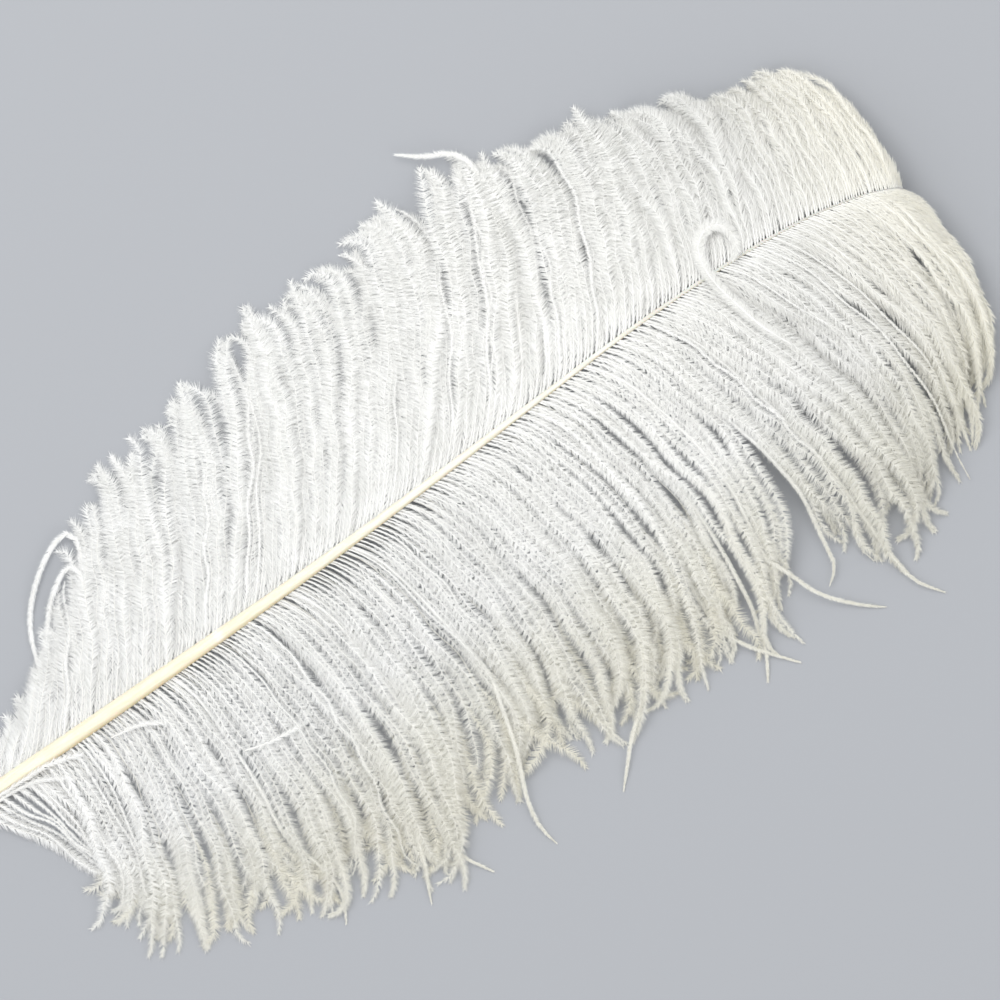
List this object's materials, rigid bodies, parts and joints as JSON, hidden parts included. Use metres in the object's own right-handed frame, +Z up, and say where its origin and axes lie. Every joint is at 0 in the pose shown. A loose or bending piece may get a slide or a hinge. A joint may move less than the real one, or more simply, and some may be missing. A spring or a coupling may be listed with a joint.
{
  "type": "ostrich feather",
  "caption": "Large white plume lying with its shaft arched: soft locks of barbs droop on both sides and the tip curls over.",
  "frame": {"origin": "middle of the footprint, on the surface that the feather lies on", "axes": "+X along the shaft from the quill's end to the curled tip, +Y towards the shorter vane, +Z up from the surface"},
  "size_m": [0.5662, 0.3162, 0.0529],
  "materials": {
    "barbs": "matte",
    "shaft": "satin"
  },
  "bodies": {
    "root": {"feather": "barbs"}
  },
  "joints": []
}
